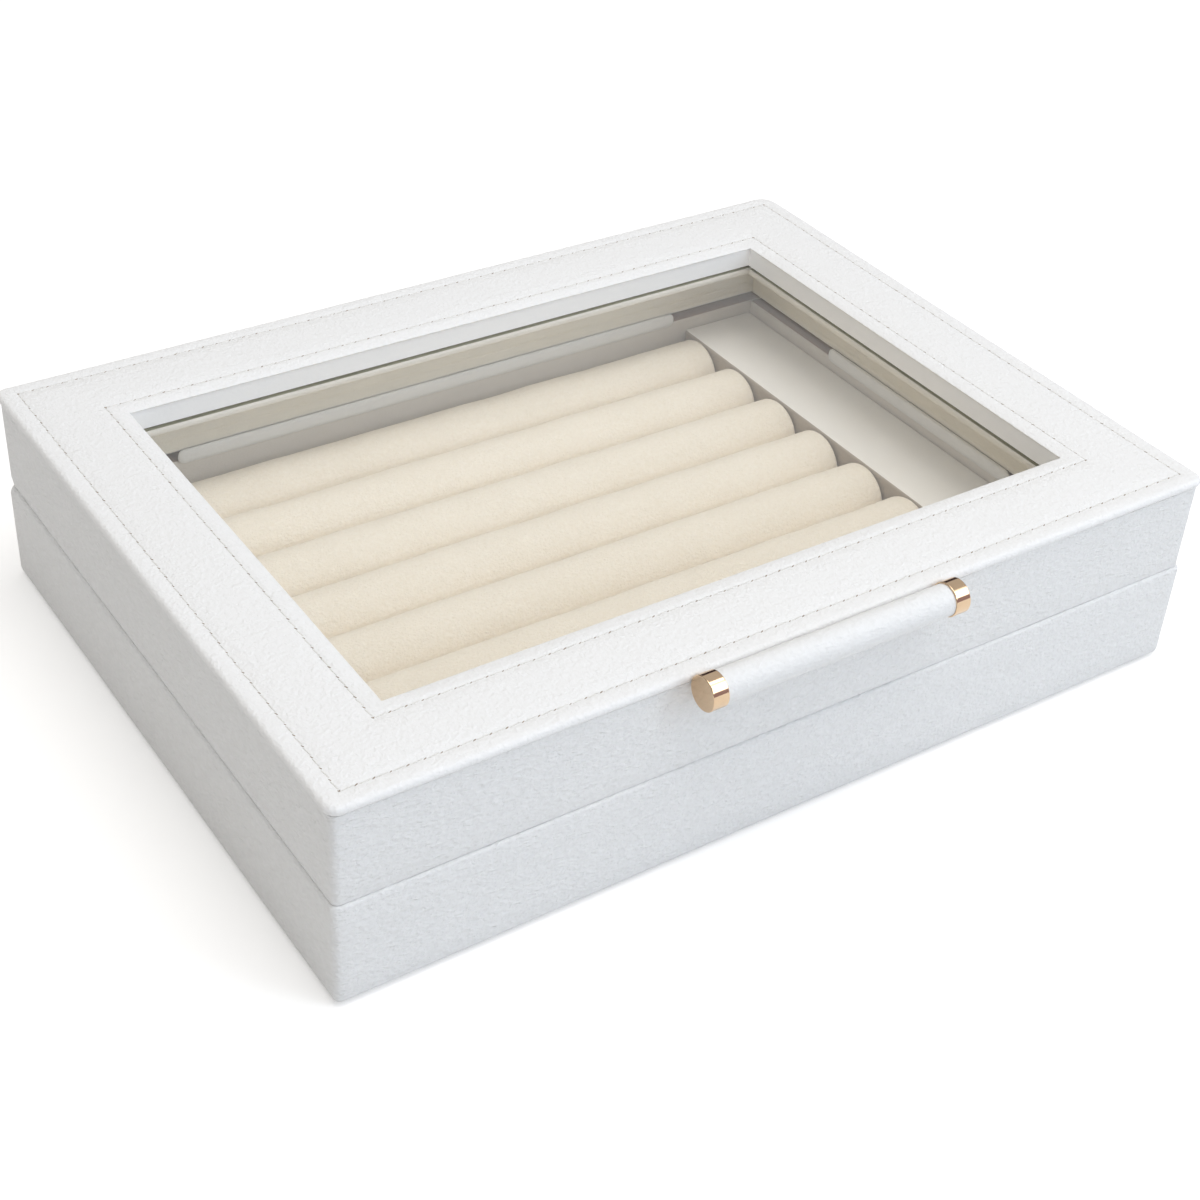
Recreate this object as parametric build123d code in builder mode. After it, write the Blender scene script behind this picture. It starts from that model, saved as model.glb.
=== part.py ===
from build123d import *
import math
import os

# Ring display box: a leatherette-covered case with a glass window in its hinged lid and a bed of
# velvet ring rolls in its base. All sizes are in millimetres.
# Frame: +X to the right, +Y to the back, +Z up. The origin is under the middle of the base, on the
# surface that the box stands on. The handle is on the -Y side and the hinges are on the +Y side.

# ---------------------------------------------------------------- outside
lid_length = 250.0          # over the lid's walls, along X
lid_depth = 185.0           # over the lid's walls, along Y
box_height = 57.5           # from the table to the top of the cover
split_height = 29.6         # where the lid meets the base
base_step = 0.6             # the base stands proud of the lid's walls by this much
corner_radius = 1.8         # upright corners of the covering
skin = 0.8                  # leatherette with its backing
skin_edge_radius = 0.5      # soft edge where the covering turns over a rim
rim_turn_in = 5.0           # how far the covering runs over a rim before it ends
bottom_turn_in = 12.0       # the same, under the base

# ---------------------------------------------------------------- walls and linings
wall = 6.5                  # board of the lid's walls
liner = 5.2                 # velvet-covered boards inside the base
lid_liner_relief = 0.4      # the lid's inner boards sit back by this much, to clear the rim strips
lining_setback = 1.0        # linings stop short of the joint by this much, above and below
board_thickness = 3.6       # bottom board
felt_thickness = 0.6
felt_margin = 4.0           # from the felt's edge to the outside of the base
felt_corner = 3.0
floor_cloth = 0.6           # velvet on the bottom board

# ---------------------------------------------------------------- ring rolls and ledges
roll_count = 8
roll_gap = 0.3              # between neighbouring rolls
roll_end_radius = 2.0       # soft corner at each end of a roll
roll_end_crown = 0.7        # each end bulges by this much
roll_seat = 0.5             # depth of the flat that a roll rests on
ledge_width = 25.2          # from the side linings to the ends of the rolls
ledge_gap = 0.3             # between the rolls and the side ledges
ledge_drop = 0.4            # ledge top below the crest of the rolls
ledge_edge_radius = 1.0

# ---------------------------------------------------------------- rim strips
strip_end_gap_x = 30.0      # from the corners to the front and back strips
strip_end_gap_y = 40.0      # from the corners to the side strips
strip_thickness = 0.8
strip_edge_radius = 0.2
strip_above_joint = 1.6
strip_below_joint = 2.8

# ---------------------------------------------------------------- lid top and window
cover_thickness = 2.4       # padded leatherette panel
cover_overhang = 0.9        # the panel stands out past the lid's walls
cover_corner_radius = 4.0   # upright corners of the panel
cover_edge_radius = 1.2     # outer top edge of the panel
cover_under_radius = 1.0    # outer lower edge of the panel
frame_width = 25.2          # from the outside of the lid's walls to the window
lip_slope_width = 3.2       # the panel dips towards the window over this width
lip_dip = 0.5
lip_thickness = 0.5         # leatherette edge that covers the window lining
window_lining = 0.7         # leatherette strip on the sides of the window
lid_board = 4.1             # board between the panel and the glass
glass_thickness = 3.0
glass_side_gap = 0.4        # between the glass and the lid's inner boards
glass_edge_chamfer = 0.3
retainer_thickness = 2.0    # strips that hold the glass up

# ---------------------------------------------------------------- handle
handle_length = 74.4        # over both caps
cap_radius = 4.4
cap_length = 4.3
cap_wall = 0.35             # rim of the cap round the roll
cap_end = 0.8               # closed end of the cap
cap_edge_radius = 0.25
cap_fit = 0.05              # between the roll and the rim of the cap
cap_cover_gap = 0.2         # between the caps and the overhanging panel
handle_rise = 0.3           # roll axis above the seam under the panel
dowel_radius = 2.8
tab_thickness = 1.0
tab_depth = 5.5             # how far the leatherette tab runs into the seam
tab_end_gap = 0.5           # between the tab and each cap

# ---------------------------------------------------------------- hinges
hinge_end_gap = 50.0        # from the lid's side to the middle of a hinge
hinge_inset = 1.5           # hinge axis in front of the lid's back face
hinge_length = 30.0
bevel_angle = 51.0          # slope of both rims behind the hinge axis, from level
leaf_thickness = 0.8
leaf_margin = 0.4           # between the leaf and the wall's inner face
knuckle_radius = 1.5
knuckle_count = 5
knuckle_gap = 0.15
mortise_gap = 0.2           # round the knuckles
pin_radius = 0.75
pin_clearance = 0.05        # in the knuckles that turn
pin_overrun = 0.3           # the pin stands out past the knuckles by this much
screw_spacing = 18.0
screw_head_radius = 1.2
screw_head_depth = 0.6
screw_radius = 0.7
screw_length = 7.0
slot_width = 0.4
slot_depth = 0.3

# ---------------------------------------------------------------- derived sizes
base_length = lid_length + 2 * base_step
base_depth = lid_depth + 2 * base_step

# half sizes of the nested rectangles, from outside to inside
base_wall_x = base_length / 2 - skin
base_wall_y = base_depth / 2 - skin
lid_wall_x = lid_length / 2 - skin
lid_wall_y = lid_depth / 2 - skin
wall_inner_x = lid_wall_x - wall
wall_inner_y = lid_wall_y - wall
cavity_x = wall_inner_x - liner
cavity_y = wall_inner_y - liner
lid_liner_x = cavity_x + lid_liner_relief
lid_liner_y = cavity_y + lid_liner_relief
window_x = lid_length / 2 - frame_width
window_y = lid_depth / 2 - frame_width
window_board_x = window_x + window_lining
window_board_y = window_y + window_lining

# levels of the base, from the table up
base_bottom = felt_thickness
board_bottom = base_bottom + skin
floor_bottom = board_bottom + board_thickness
floor_top = floor_bottom + floor_cloth
base_wall_top = split_height - skin
base_liner_top = split_height - lining_setback

# levels of the lid, from the joint up
lid_wall_bottom = split_height + skin
lid_liner_bottom = split_height + lining_setback
seam_height = box_height - cover_thickness
glass_top = seam_height - lid_board
glass_bottom = glass_top - glass_thickness
retainer_bottom = glass_bottom - retainer_thickness
lip_top = box_height - lip_dip
lining_top = lip_top - lip_thickness

# rolls and ledges
roll_pitch = 2 * cavity_y / roll_count
roll_radius = (roll_pitch - roll_gap) / 2
roll_axis_height = floor_top + roll_radius - roll_seat
roll_crest = roll_axis_height + roll_radius
ledge_top = roll_crest - ledge_drop
ledge_inner = cavity_x - ledge_width
roll_length = 2 * (ledge_inner - ledge_gap)

# handle
handle_y = -(lid_depth / 2 + cover_overhang + cap_cover_gap + cap_radius)
handle_z = seam_height + handle_rise
handle_roll_radius = cap_radius - cap_wall - cap_fit
handle_roll_length = handle_length - 2 * cap_end
tab_length = handle_length - 2 * (cap_length + tab_end_gap)
tab_back = tab_depth - lid_depth / 2

# hinges
hinge_y = lid_depth / 2 - hinge_inset
hinge_middle_x = lid_length / 2 - hinge_end_gap
hinge_middles = {"left": -hinge_middle_x, "right": hinge_middle_x}
leaf_inner_y = wall_inner_y + leaf_margin
mortise_radius = knuckle_radius + mortise_gap
leaf_outer_y = hinge_y - mortise_radius
screw_y = (leaf_inner_y + leaf_outer_y) / 2
knuckle_length = (hinge_length - (knuckle_count - 1) * knuckle_gap) / knuckle_count
BASE = 1                    # side of the joint that a rim lies on: below it
LID = -1                    # above it


def save(piece, name):
    """Label a finished piece and write it to its own file."""
    piece.part.label = name
    export_step(piece.part, f"parts/{name}.step")


def block(low, high, mode=Mode.ADD):
    """A box between two corners."""
    size = [b - a for a, b in zip(low, high)]
    centre = tuple((a + b) / 2 for a, b in zip(low, high))
    with Locations(centre):
        Box(*size, mode=mode)


def centred_block(half_x, half_y, low_z, high_z, mode=Mode.ADD):
    """A box centred on the Z axis."""
    block((-half_x, -half_y, low_z), (half_x, half_y, high_z), mode)


def rounded_block(length, depth, radius, low_z, high_z):
    """A block centred on the Z axis with rounded upright corners."""
    with BuildSketch(Plane.XY.offset(low_z)) as outline:
        RectangleRounded(length, depth, radius)
    extrude(outline.sketch, amount=high_z - low_z)


def x_cylinder(radius, length, centre, mode=Mode.ADD):
    """A cylinder along X."""
    with Locations(Location(centre, (0, 90, 0))):
        Cylinder(radius, length, mode=mode)


def cut_back_bevel(side, inset):
    """Slope a rim away behind the hinge axis, leaving room for a skin of the given thickness."""
    slope = math.radians(bevel_angle)
    start_y = hinge_y - inset * math.sin(slope)
    start_z = split_height - side * inset * math.cos(slope)
    run = lid_depth / 4
    end_y = start_y + run
    end_z = start_z - side * run * math.tan(slope)
    beyond_z = split_height + side * skin
    with BuildSketch(Plane.YZ) as wedge:
        Polygon((start_y, start_z), (end_y, end_z), (end_y, beyond_z), (start_y, beyond_z))
    extrude(wedge.sketch, amount=base_length, both=True, mode=Mode.SUBTRACT)


def cut_hinge_pockets(side):
    """Recess the leaves into a rim and clear the knuckles."""
    low_z, high_z = sorted((split_height, split_height - side * leaf_thickness))
    for middle in hinge_middles.values():
        low = (middle - hinge_length / 2, leaf_inner_y, low_z)
        high = (middle + hinge_length / 2, hinge_y, high_z)
        block(low, high, Mode.SUBTRACT)
        barrel_length = hinge_length + 2 * (pin_overrun + knuckle_gap)
        x_cylinder(mortise_radius, barrel_length, (middle, hinge_y, split_height), Mode.SUBTRACT)


def screw_places(middle):
    """Where the two screws of a leaf stand."""
    return [(middle - screw_spacing / 2, screw_y), (middle + screw_spacing / 2, screw_y)]


def screw_shape(side, places, mode):
    """Countersunk screws whose heads lie flush with the joint."""
    turn = (0, 0, 0) if side == BASE else (180, 0, 0)
    head_z = split_height - side * screw_head_depth / 2
    shank_z = split_height - side * screw_length / 2
    for x, y in places:
        with Locations(Location((x, y, head_z), turn)):
            Cone(screw_radius, screw_head_radius, screw_head_depth, mode=mode)
        with Locations((x, y, shank_z)):
            Cylinder(screw_radius, screw_length, mode=mode)


def four_rails(prefix, outer, inner, low_z, high_z, finish=None):
    """A frame of four boards: front and back run full length, left and right fit between them."""
    outer_x, outer_y = outer
    inner_x, inner_y = inner
    corners = {
        "front": ((-outer_x, -outer_y), (outer_x, -inner_y)),
        "back": ((-outer_x, inner_y), (outer_x, outer_y)),
        "left": ((-outer_x, -inner_y), (-inner_x, inner_y)),
        "right": ((inner_x, -inner_y), (outer_x, inner_y)),
    }
    for side, (low, high) in corners.items():
        with BuildPart() as rail:
            block((*low, low_z), (*high, high_z))
            if finish is not None:
                finish(side)
        save(rail, f"{prefix}_{side}")


# ---------------------------------------------------------------- base
def build_base_wrap():
    """Leatherette skin of the base, turned over the rim and under the bottom."""
    with BuildPart() as core:
        centred_block(base_wall_x, base_wall_y, board_bottom, base_wall_top)
        cut_back_bevel(BASE, skin)
    with BuildPart() as base_wrap:
        rounded_block(base_length, base_depth, corner_radius, base_bottom, split_height)
        fillet(base_wrap.faces().filter_by(Axis.Z).edges(), skin_edge_radius)
        cut_back_bevel(BASE, 0)
        add(core.part, mode=Mode.SUBTRACT)
        rim_x = base_length / 2 - rim_turn_in
        rim_y = base_depth / 2 - rim_turn_in
        centred_block(rim_x, rim_y, base_wall_top, split_height, Mode.SUBTRACT)
        bottom_x = base_length / 2 - bottom_turn_in
        bottom_y = base_depth / 2 - bottom_turn_in
        centred_block(bottom_x, bottom_y, base_bottom, board_bottom, Mode.SUBTRACT)
        cut_hinge_pockets(BASE)
    save(base_wrap, "base_wrap")


def finish_base_wall(side):
    """Bevel, hinge pockets and screw holes of the back wall."""
    if side == "back":
        cut_back_bevel(BASE, skin)
        cut_hinge_pockets(BASE)
        for middle in hinge_middles.values():
            screw_shape(BASE, screw_places(middle), Mode.SUBTRACT)


def build_base():
    """Boards, felt and linings of the base."""
    four_rails("base_wall", (base_wall_x, base_wall_y), (wall_inner_x, wall_inner_y),
               board_bottom, base_wall_top, finish_base_wall)
    with BuildPart() as base_board:
        centred_block(wall_inner_x, wall_inner_y, board_bottom, floor_bottom)
    save(base_board, "base_board")
    with BuildPart() as base_felt:
        felt_length = base_length - 2 * felt_margin
        felt_depth = base_depth - 2 * felt_margin
        rounded_block(felt_length, felt_depth, felt_corner, 0, felt_thickness)
    save(base_felt, "base_felt")
    four_rails("base_liner", (wall_inner_x, wall_inner_y), (cavity_x, cavity_y),
               floor_bottom, base_liner_top)
    with BuildPart() as floor_lining:
        centred_block(cavity_x, cavity_y, floor_bottom, floor_top)
    save(floor_lining, "floor_lining")


def build_rim_strips():
    """Stiff strips on the liners that stand above the joint and guide the lid."""
    low_z = split_height - strip_below_joint
    high_z = split_height + strip_above_joint
    inner_x = cavity_x - strip_thickness
    inner_y = cavity_y - strip_thickness
    half_x = cavity_x - strip_end_gap_x
    half_y = cavity_y - strip_end_gap_y
    corners = {
        "front": ((-half_x, -cavity_y), (half_x, -inner_y)),
        "back": ((-half_x, inner_y), (half_x, cavity_y)),
        "left": ((-cavity_x, -half_y), (-inner_x, half_y)),
        "right": ((inner_x, -half_y), (cavity_x, half_y)),
    }
    for side, (low, high) in corners.items():
        with BuildPart() as strip:
            block((*low, low_z), (*high, high_z))
            fillet(strip.edges().group_by(Axis.Z)[-1], strip_edge_radius)
        save(strip, f"rim_strip_{side}")


def build_roll(number):
    """One ring roll: a bolster with soft, slightly crowned ends, flat where it rests."""
    middle_y = -cavity_y + (number - 0.5) * roll_pitch
    plane = Plane((0, middle_y, roll_axis_height))
    tip = roll_length / 2
    end = tip - roll_end_crown
    corner = roll_radius - roll_end_radius
    crown_radius = (corner ** 2 + roll_end_crown ** 2) / (2 * roll_end_crown)
    half_sag = crown_radius - math.sqrt(crown_radius ** 2 - (corner / 2) ** 2)
    with BuildPart() as roll:
        with BuildSketch(plane):
            with BuildLine():
                Line((0, 0), (0, roll_radius))
                Line((0, roll_radius), (end - roll_end_radius, roll_radius))
                TangentArc((end - roll_end_radius, roll_radius), (end, corner), tangent=(1, 0))
                ThreePointArc((end, corner), (tip - half_sag, corner / 2), (tip, 0))
                Line((tip, 0), (0, 0))
            make_face()
            mirror(about=Plane.YZ)
        revolve(axis=Axis((0, middle_y, roll_axis_height), (1, 0, 0)))
        low = (-roll_length, middle_y - roll_pitch, roll_axis_height - 2 * roll_radius)
        high = (roll_length, middle_y + roll_pitch, floor_top)
        block(low, high, Mode.SUBTRACT)
    save(roll, f"ring_roll_{number}")


def build_ledges():
    """Velvet-covered blocks between the ends of the rolls and the side linings."""
    for name, low_x, high_x in (("left", -cavity_x, -ledge_inner), ("right", ledge_inner, cavity_x)):
        with BuildPart() as ledge:
            block((low_x, -cavity_y, floor_top), (high_x, cavity_y, ledge_top))
            fillet(ledge.edges().group_by(Axis.Z)[-1], ledge_edge_radius)
        save(ledge, f"ring_ledge_{name}")


# ---------------------------------------------------------------- lid
def cut_tab_notch():
    """Room in the front rim for the handle's tab."""
    low = (-tab_length / 2, -lid_depth / 2, seam_height - tab_thickness)
    block(low, (tab_length / 2, tab_back, seam_height), Mode.SUBTRACT)


def finish_lid_wall(side):
    """Hinge side of the back wall and tab notch of the front wall."""
    if side == "back":
        cut_back_bevel(LID, skin)
        cut_hinge_pockets(LID)
        for middle in hinge_middles.values():
            screw_shape(LID, screw_places(middle), Mode.SUBTRACT)
    if side == "front":
        cut_tab_notch()


def build_lid_wrap():
    """Leatherette skin of the lid's walls, turned under the rim."""
    with BuildPart() as core:
        centred_block(lid_wall_x, lid_wall_y, lid_wall_bottom, seam_height)
        cut_back_bevel(LID, skin)
    with BuildPart() as lid_wrap:
        rounded_block(lid_length, lid_depth, corner_radius, split_height, seam_height)
        fillet(lid_wrap.faces().sort_by(Axis.Z)[0].edges(), skin_edge_radius)
        cut_back_bevel(LID, 0)
        add(core.part, mode=Mode.SUBTRACT)
        rim_x = lid_length / 2 - rim_turn_in
        rim_y = lid_depth / 2 - rim_turn_in
        centred_block(rim_x, rim_y, split_height, lid_wall_bottom, Mode.SUBTRACT)
        cut_hinge_pockets(LID)
        cut_tab_notch()
    save(lid_wrap, "lid_wrap")


def build_lid_cover():
    """Padded leatherette panel on top, dipping to a thin lip round the window."""
    with BuildPart() as lid_cover:
        rounded_block(lid_length + 2 * cover_overhang, lid_depth + 2 * cover_overhang,
                      cover_corner_radius, seam_height, box_height)
        fillet(lid_cover.faces().sort_by(Axis.Z)[-1].edges(), cover_edge_radius)
        fillet(lid_cover.faces().sort_by(Axis.Z)[0].edges(), cover_under_radius)
        centred_block(window_x, window_y, seam_height, box_height, Mode.SUBTRACT)
        centred_block(window_board_x, window_board_y, seam_height, lining_top, Mode.SUBTRACT)
        with BuildSketch(Plane.XY.offset(lip_top)):
            Rectangle(2 * window_x, 2 * window_y)
        with BuildSketch(Plane.XY.offset(box_height)):
            Rectangle(2 * (window_x + lip_slope_width), 2 * (window_y + lip_slope_width))
        loft(mode=Mode.SUBTRACT)
    save(lid_cover, "lid_cover")


def build_lid():
    """Boards, window lining, glass and inner linings of the lid."""
    four_rails("lid_wall", (lid_wall_x, lid_wall_y), (wall_inner_x, wall_inner_y),
               lid_wall_bottom, seam_height, finish_lid_wall)
    four_rails("lid_board", (wall_inner_x, wall_inner_y), (window_board_x, window_board_y),
               glass_top, seam_height)
    with BuildPart() as lining:
        centred_block(window_board_x, window_board_y, glass_top, lining_top)
        centred_block(window_x, window_y, glass_top, lining_top, Mode.SUBTRACT)
    save(lining, "window_lining")
    with BuildPart() as glass:
        centred_block(lid_liner_x - glass_side_gap, lid_liner_y - glass_side_gap,
                      glass_bottom, glass_top)
        chamfer(glass.edges(), glass_edge_chamfer)
    save(glass, "glass_pane")
    four_rails("glass_retainer", (lid_liner_x, lid_liner_y), (window_x, window_y),
               retainer_bottom, glass_bottom)
    four_rails("lid_liner", (wall_inner_x, wall_inner_y), (lid_liner_x, lid_liner_y),
               lid_liner_bottom, glass_top)


# ---------------------------------------------------------------- handle
def build_handle():
    """Leatherette roll on a dowel, hung from a tab in the seam, with a metal cap on each end."""
    axis_point = (0, handle_y, handle_z)
    with BuildPart() as handle_wrap:
        x_cylinder(handle_roll_radius, handle_roll_length, axis_point)
        low = (-tab_length / 2, handle_y, seam_height - tab_thickness)
        block(low, (tab_length / 2, tab_back, seam_height))
        x_cylinder(dowel_radius, handle_roll_length, axis_point, Mode.SUBTRACT)
    save(handle_wrap, "handle_wrap")
    with BuildPart() as dowel:
        x_cylinder(dowel_radius, handle_roll_length, axis_point)
    save(dowel, "handle_dowel")
    for name, side in (("left", -1), ("right", 1)):
        middle = side * (handle_length - cap_length) / 2
        recess_length = cap_length - cap_end
        recess_middle = side * (handle_length / 2 - cap_end - recess_length / 2)
        with BuildPart() as cap:
            x_cylinder(cap_radius, cap_length, (middle, handle_y, handle_z))
            fillet(cap.edges().filter_by(GeomType.CIRCLE), cap_edge_radius)
            recess = (recess_middle, handle_y, handle_z)
            x_cylinder(cap_radius - cap_wall, recess_length, recess, Mode.SUBTRACT)
        save(cap, f"handle_cap_{name}")


# ---------------------------------------------------------------- hinges
def build_leaf(side, middle, name):
    """A hinge leaf with its own knuckles: even ones on the base, odd ones on the lid."""
    low_z, high_z = sorted((split_height, split_height - side * leaf_thickness))
    first = 0 if side == BASE else 1
    hole_radius = pin_radius if side == BASE else pin_radius + pin_clearance
    start = middle - hinge_length / 2
    with BuildPart() as leaf:
        block((start, leaf_inner_y, low_z), (start + hinge_length, leaf_outer_y, high_z))
        for index in range(first, knuckle_count, 2):
            low_x = start + index * (knuckle_length + knuckle_gap)
            block((low_x, leaf_outer_y, low_z), (low_x + knuckle_length, hinge_y, high_z))
            centre = (low_x + knuckle_length / 2, hinge_y, split_height)
            x_cylinder(knuckle_radius, knuckle_length, centre)
        x_cylinder(hole_radius, 2 * hinge_length, (middle, hinge_y, split_height), Mode.SUBTRACT)
        screw_shape(side, screw_places(middle), Mode.SUBTRACT)
    save(leaf, name)


def build_screws(side, name):
    """The four screws that hold the leaves of one side."""
    with BuildPart() as screws:
        for middle in hinge_middles.values():
            places = screw_places(middle)
            screw_shape(side, places, Mode.ADD)
            with Locations([(x, y, split_height - side * slot_depth / 2) for x, y in places]):
                Box(2 * screw_head_radius, slot_width, slot_depth, mode=Mode.SUBTRACT)
    save(screws, name)


def build_hinges():
    """Two butt hinges between the rims at the back."""
    for where, middle in hinge_middles.items():
        build_leaf(BASE, middle, f"hinge_base_leaf_{where}")
        build_leaf(LID, middle, f"hinge_lid_leaf_{where}")
        with BuildPart() as pin:
            x_cylinder(pin_radius, hinge_length + 2 * pin_overrun, (middle, hinge_y, split_height))
        save(pin, f"hinge_pin_{where}")
    build_screws(BASE, "hinge_base_screws")
    build_screws(LID, "hinge_lid_screws")


os.makedirs("parts", exist_ok=True)
build_base_wrap()
build_base()
build_rim_strips()
for roll_number in range(1, roll_count + 1):
    build_roll(roll_number)
build_ledges()
build_lid_wrap()
build_lid_cover()
build_lid()
build_handle()
build_hinges()
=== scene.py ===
import bpy
import bmesh
import math
import random
from mathutils import Matrix, Vector


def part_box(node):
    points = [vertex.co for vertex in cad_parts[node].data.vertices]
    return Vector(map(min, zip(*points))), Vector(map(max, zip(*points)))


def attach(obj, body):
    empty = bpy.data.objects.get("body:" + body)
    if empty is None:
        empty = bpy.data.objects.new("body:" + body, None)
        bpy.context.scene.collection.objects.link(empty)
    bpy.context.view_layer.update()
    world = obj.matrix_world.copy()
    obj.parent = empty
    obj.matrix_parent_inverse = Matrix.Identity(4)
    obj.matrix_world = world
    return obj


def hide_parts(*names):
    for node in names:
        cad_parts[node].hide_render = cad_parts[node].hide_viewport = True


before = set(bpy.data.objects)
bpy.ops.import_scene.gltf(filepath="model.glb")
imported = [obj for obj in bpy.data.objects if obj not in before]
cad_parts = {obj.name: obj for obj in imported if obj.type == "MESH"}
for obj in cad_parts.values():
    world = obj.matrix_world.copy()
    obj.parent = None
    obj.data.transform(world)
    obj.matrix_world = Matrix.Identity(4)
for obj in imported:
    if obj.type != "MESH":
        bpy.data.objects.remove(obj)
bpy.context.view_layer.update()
random.seed(7)
mm = 0.001
axes = ((1, 0, 0), (0, 1, 0), (0, 0, 1))
mostly, squarely = 0.9, 0.95  # how far a direction has to run along an axis to count
print("ring box: frame loaded,", len(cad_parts), "nodes")


def only(piece):
    # makes a piece the one thing that is selected and active
    if bpy.context.object and bpy.context.object.mode != "OBJECT":
        bpy.ops.object.mode_set(mode="OBJECT")
    bpy.ops.object.select_all(action="DESELECT")
    piece.select_set(True)
    bpy.context.view_layer.objects.active = piece


def startEdit(piece):
    only(piece)
    bpy.ops.object.mode_set(mode="EDIT")
    bpy.ops.mesh.select_mode(type="VERT")
    bpy.ops.mesh.select_all(action="DESELECT")


def endEdit():
    bpy.ops.object.mode_set(mode="OBJECT")


def pick(piece, kind, parts, test):
    bpy.ops.mesh.select_mode(type=kind)
    bpy.ops.mesh.select_all(action="DESELECT")
    mesh = bmesh.from_edit_mesh(piece.data)
    mesh.normal_update()
    for part in getattr(mesh, parts):
        part.select_set(test(part))
    mesh.select_flush_mode()
    bmesh.update_edit_mesh(piece.data)


def pickVerts(piece, test):
    pick(piece, "VERT", "verts", lambda v: test(v.co))


def pickEdges(piece, test):
    # test gets the middle, the direction and the edge itself
    def testEdge(e):
        a, b = e.verts[0].co, e.verts[1].co
        return test((a + b) / 2, (b - a).normalized(), e)

    pick(piece, "EDGE", "edges", testEdge)


def pickFaces(piece, test):
    # test gets the middle and the normal
    pick(piece, "FACE", "faces", lambda f: test(f.calc_center_median(), f.normal))


def isFold(edge, least=25):
    # an outer edge where two faces meet at an angle
    return len(edge.link_faces) == 2 and edge.calc_face_angle(0) > math.radians(least)


def cutAt(direction, places):
    # straight cuts across everything, square to a direction
    for place in places:
        bpy.ops.mesh.select_all(action="SELECT")
        bpy.ops.mesh.bisect(plane_co=Vector(direction) * place, plane_no=direction)


def steps(low, high, size):
    # evenly spaced places strictly between low and high, about size apart
    count = max(1, round((high - low) / size))
    return [low + (high - low) * i / count for i in range(1, count)]


def addShape(add, name, **values):
    # one of the basic shapes, with its place, turn and size in its mesh
    bpy.ops.object.select_all(action="DESELECT")
    add(**values)
    piece = bpy.context.object
    piece.name = piece.data.name = name
    bpy.ops.object.transform_apply(location=True, rotation=True, scale=True)
    return piece


def addBlock(name, low, high):
    middle = [(a + b) / 2 for a, b in zip(low, high)]
    size = [b - a for a, b in zip(low, high)]
    return addShape(bpy.ops.mesh.primitive_cube_add, name, size=1, location=middle, scale=size)


def addRod(name, sides, radius, length, middle):
    # a cylinder that lies along X
    return addShape(bpy.ops.mesh.primitive_cylinder_add, name, vertices=sides, radius=radius,
                    depth=length, location=middle, rotation=(0, math.pi / 2, 0))


def applyModifier(piece, kind, **values):
    only(piece)
    modifier = piece.modifiers.new(kind.title(), kind)
    for key, value in values.items():
        setattr(modifier, key, value)
    bpy.ops.object.modifier_apply(modifier=modifier.name)


def combine(piece, other, operation):
    applyModifier(piece, "BOOLEAN", operation=operation, solver="EXACT", object=other)
    bpy.data.objects.remove(other)


def ripple(piece, amount, size):
    # slow unevenness of a hand-covered surface
    clouds = bpy.data.textures.new(piece.name + "Ripple", "CLOUDS")
    clouds.noise_scale = size
    clouds.noise_depth = 1
    applyModifier(piece, "DISPLACE", texture=clouds, strength=amount, mid_level=0.5,
                  texture_coords="LOCAL")


def dropSlivers(piece):
    # faces with no width that cuts can leave
    startEdit(piece)
    bpy.ops.mesh.select_all(action="SELECT")
    bpy.ops.mesh.dissolve_degenerate(threshold=0.004 * mm)
    endEdit()


def smooth(piece, angle=35):
    only(piece)
    bpy.ops.object.shade_smooth_by_angle(angle=math.radians(angle))


def boxInside(node, gap):
    low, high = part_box(node)
    return low + Vector((gap,) * 3), high - Vector((gap,) * 3)


def dress(piece, material, slot, body, *nodes):
    # finish, body it rides on and the nodes it stands for
    piece.data.materials.clear()
    piece.data.materials.append(material)
    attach(piece, body)
    if nodes:
        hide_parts(*nodes)


def paintFaces(piece, material, test):
    # gives some faces of a piece a second finish
    piece.data.materials.append(material)
    startEdit(piece)
    pickFaces(piece, test)
    piece.active_material_index = len(piece.data.materials) - 1
    bpy.ops.object.material_slot_assign()
    endEdit()


def dressNode(name, material):
    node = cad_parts[name]
    node.data.materials.clear()
    node.data.materials.append(material)


# In the shader code below, owner is a material or the world, and colours, bumps, ranges and
# places are handed on as (node, output) pairs.


def startMaterial(name):
    material = bpy.data.materials.new(name)
    material.use_nodes = True
    material.node_tree.nodes.clear()
    return material, addNode(material, "OutputMaterial")


def addNode(owner, kind, **values):
    # sockets are set by name with spaces written as underscores
    node = owner.node_tree.nodes.new("ShaderNode" + kind)
    for key, value in values.items():
        if hasattr(node, key):
            setattr(node, key, value)
        else:
            node.inputs[key.replace("_", " ")].default_value = value
    return node


def wire(owner, a, b):
    # a is (node, output), b is (node, input)
    owner.node_tree.links.new(a[0].outputs[a[1]], b[0].inputs[b[1]])


def addMath(owner, operation, *values):
    # each value is a number or a pair
    node = addNode(owner, "Math", operation=operation)
    for i, value in enumerate(values):
        if isinstance(value, tuple):
            wire(owner, value, (node, i))
        else:
            node.inputs[i].default_value = value
    return node, "Value"


def addRange(owner, source, **values):
    node = addNode(owner, "MapRange", **values)
    wire(owner, source, (node, "Value"))
    return node, "Result"


def blendColour(owner, factor, low, high, places=(0, 1)):
    ramp = addNode(owner, "ValToRGB")
    for element, place in zip(ramp.color_ramp.elements, places):
        element.position = place
    for element, colour in zip(ramp.color_ramp.elements, (low, high)):
        element.color = (*colour, 1)
    wire(owner, factor, (ramp, "Fac"))
    return ramp, "Color"


def mixShaders(owner, factor, low, high):
    mixed = addNode(owner, "MixShader")
    wire(owner, factor, (mixed, "Fac"))
    wire(owner, low, (mixed, 1))
    wire(owner, high, (mixed, 2))
    return mixed, "Shader"


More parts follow.
